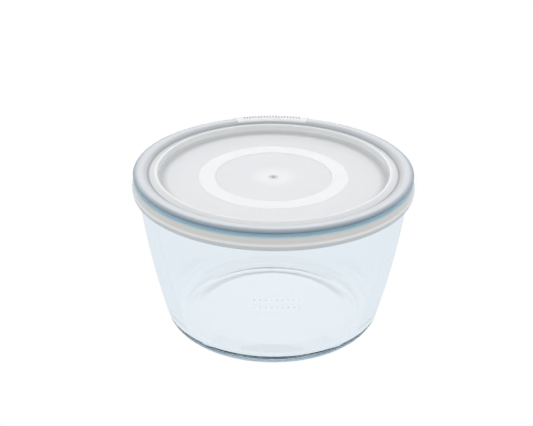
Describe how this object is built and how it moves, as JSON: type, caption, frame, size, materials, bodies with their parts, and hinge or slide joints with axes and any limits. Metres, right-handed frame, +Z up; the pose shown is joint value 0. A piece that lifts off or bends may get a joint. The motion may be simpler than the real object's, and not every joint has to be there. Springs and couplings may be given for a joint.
{
  "type": "glass storage container",
  "caption": "Round pressed-glass storage bowl with a recessed-panel, press-fit translucent plastic lid that lifts straight off.",
  "frame": {"origin": "centre of the foot ring's lowest face, on the surface the bowl stands on", "axes": "+Z up along the turning axis of bowl and lid, +Y towards the label pad on the lid's outer ring"},
  "size_m": [0.1558, 0.1558, 0.0918],
  "materials": {
    "clear_glass": "clear pressed glass with a faint blue cast, polished",
    "lid_plastic": "translucent white moulded polyethylene, fine satin texture with one smoother ring"
  },
  "bodies": {
    "bowl": {"glass_bowl": "clear_glass"},
    "lid": {"snap_lid": "lid_plastic"}
  },
  "joints": [
    {"name": "lid_lift", "type": "slide", "parent": "bowl", "child": "lid", "axis": [0, 0, 1], "range_m": [0, 0.03]}
  ]
}
